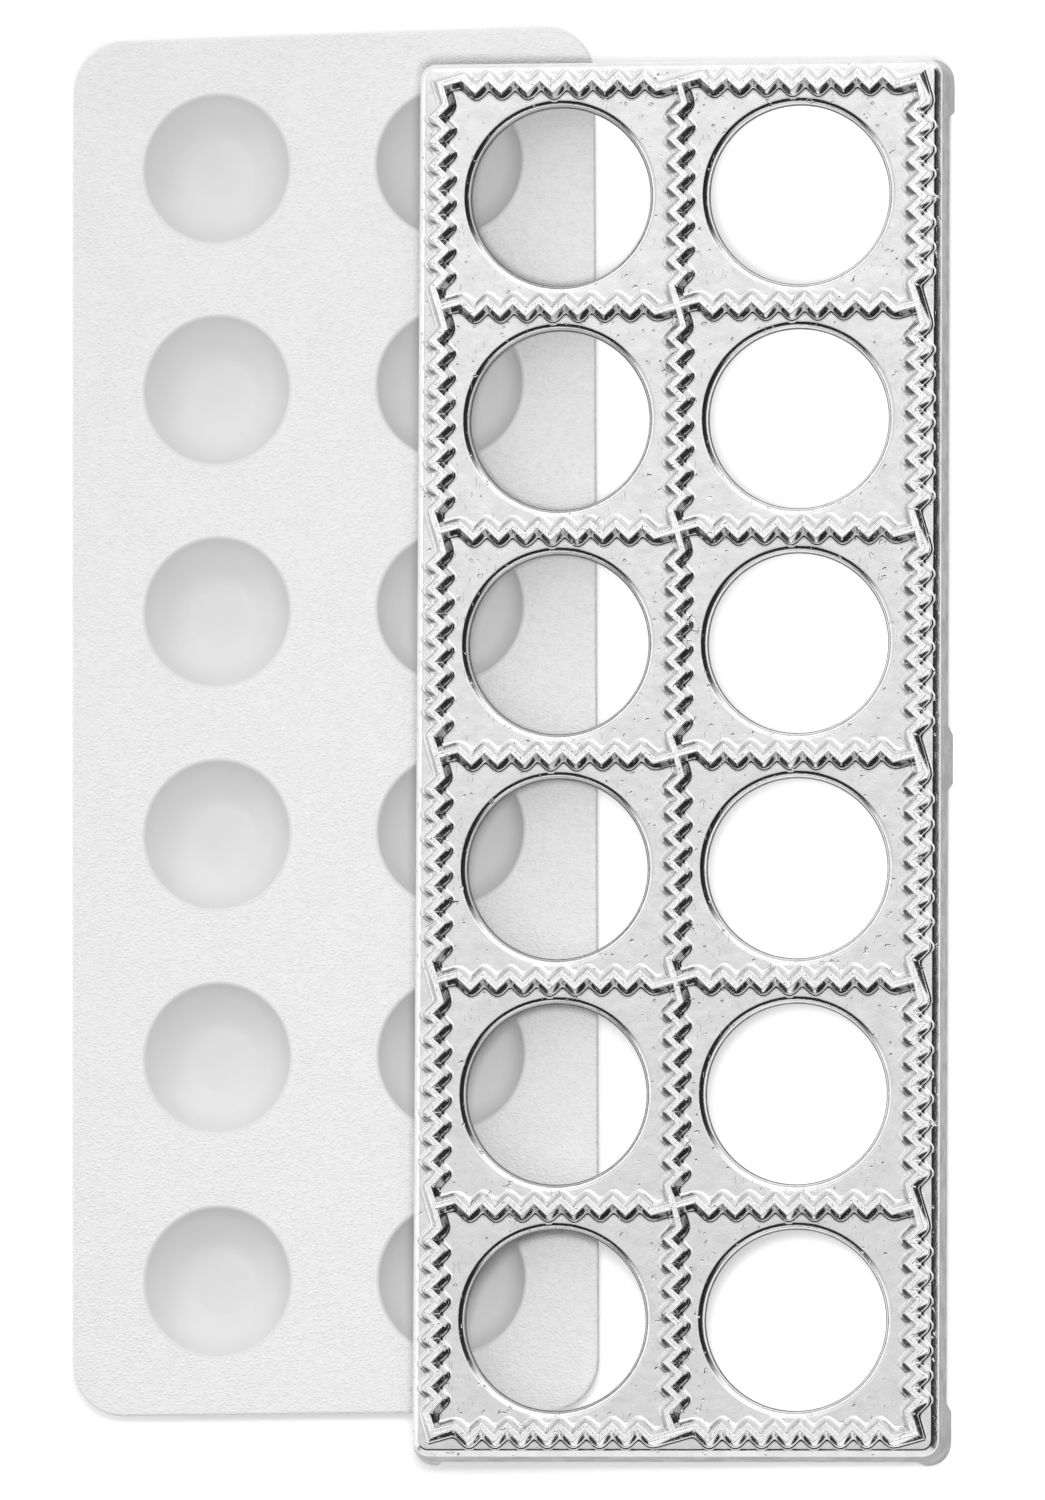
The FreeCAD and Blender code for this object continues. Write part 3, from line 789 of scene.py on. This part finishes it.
def buildStudio(settings):
    world = bpy.data.worlds.new("studio")
    bpy.context.scene.world = world
    world.use_nodes = True
    nodes = world.node_tree.nodes
    links = world.node_tree.links

    def result(operation, first, second=0):
        return calculate(nodes, links, operation, first, second)

    direction = nodes.new("ShaderNodeTexCoord").outputs["Generated"]
    parts = nodes.new("ShaderNodeSeparateXYZ")
    links.new(direction, parts.inputs["Vector"])
    right, away, up = [parts.outputs[axis] for axis in "XYZ"]

    # The sides: a dark one, all brighter towards the horizon, and a white band at the near end
    azimuth = math.radians(settings["darkAzimuth"])
    along = result("ADD", result("MULTIPLY", right, math.cos(azimuth)),
                   result("MULTIPLY", away, math.sin(azimuth)))
    level = result("SQRT", result("SUBTRACT", settings["overUnit"], result("MULTIPLY", up, up)))
    side = stepOver(nodes, links, result("DIVIDE", along, level), math.cos, settings["darkEdges"],
                    settings["brightSide"], settings["darkSide"])
    horizon = stepOver(nodes, links, up, math.sin, settings["horizonBand"], 1, 1 + settings["horizonGain"])
    side = result("MULTIPLY", side, horizon)
    towards = result("DIVIDE", result("MULTIPLY", away, -1), level)
    near = result("MULTIPLY", stepOver(nodes, links, towards, math.cos, settings["nearEdges"], 0, 1),
                  stepOver(nodes, links, up, math.sin, settings["nearBand"], 0, settings["nearWhite"]))
    side = result("MAXIMUM", side, near)

    # Overhead, brighter towards the far side
    slope = settings["overheadSlope"]
    least, most = settings["overheadLimits"]
    fade = result("ADD", 1 - slope * settings["overheadMiddle"], result("MULTIPLY", away, slope))
    fade = result("MINIMUM", result("MAXIMUM", fade, least), most)
    low = stepOver(nodes, links, up, math.sin, settings["lowBand"], 0, 1)
    above = result("MULTIPLY", settings["overhead"], result("SUBTRACT", 1, low))
    above = result("MULTIPLY", above, fade)
    glow = result("ADD", above, result("MULTIPLY", side, low))

    # A glint that only reflections see
    height = math.radians(settings["glintHeight"])
    turn = math.radians(settings["glintAzimuth"])
    toGlint = nodes.new("ShaderNodeVectorMath")
    toGlint.operation = "DOT_PRODUCT"
    toGlint.inputs[1].default_value = (math.cos(height) * math.cos(turn), math.cos(height) * math.sin(turn),
                                       math.sin(height))
    links.new(direction, toGlint.inputs[0])
    glint = stepOver(nodes, links, toGlint.outputs["Value"], math.cos, settings["glintEdges"],
                     0, settings["glint"])
    ray = nodes.new("ShaderNodeLightPath")
    glow = result("ADD", glow, result("MULTIPLY", glint, ray.outputs["Is Glossy Ray"]))

    # Full strength to the camera and in reflections, a share of it as light on the surfaces
    shown = result("MAXIMUM", ray.outputs["Is Camera Ray"], ray.outputs["Is Glossy Ray"])
    strength = result("ADD", settings["softShare"], result("MULTIPLY", shown, 1 - settings["softShare"]))
    background = nodes["Background"]
    links.new(greyColour(nodes, links, glow), background.inputs["Color"])
    links.new(strength, background.inputs["Strength"])


buildStudio(studio)


# Lamp: a soft disk beside the camera's line, aimed at the middle of the object
softLamp = {"power": 3.3, "width": 0.16, "place": (0.165, -0.05, 0.79)}


def buildLamp(settings):
    lamp = bpy.data.lights.new("softLamp", "AREA")
    lamp.shape = "DISK"
    lamp.size = settings["width"]
    lamp.energy = settings["power"]
    piece = bpy.data.objects.new("softLamp", lamp)
    place = Vector(settings["place"])
    piece.matrix_world = Matrix.Translation(place) @ place.to_track_quat("Z", "Y").to_matrix().to_4x4()
    piece.visible_glossy = False
    piece.visible_camera = False
    bpy.context.collection.objects.link(piece)


buildLamp(softLamp)


# Camera: far away, a little from the right and from the near end
view = {
    "target": (0.00384, -0.00131, 0.008), "distance": 3, "lens": 339.6,
    "yaw": 12, "pitch": 5, "roll": 0.297,
}


def buildCamera(settings):
    data = bpy.data.cameras.new("camera")
    data.lens = settings["lens"]
    camera = bpy.data.objects.new("camera", data)
    bpy.context.collection.objects.link(camera)
    turn = (Matrix.Rotation(math.radians(settings["yaw"]), 4, "Y")
            @ Matrix.Rotation(math.radians(settings["pitch"]), 4, "X")
            @ Matrix.Rotation(math.radians(settings["roll"]), 4, "Z"))
    camera.matrix_world = (Matrix.Translation(settings["target"]) @ turn
                           @ Matrix.Translation((0, 0, settings["distance"])))
    bpy.context.scene.camera = camera


buildCamera(view)
bpy.context.scene.view_settings.view_transform = "Standard"
print("studio ready")
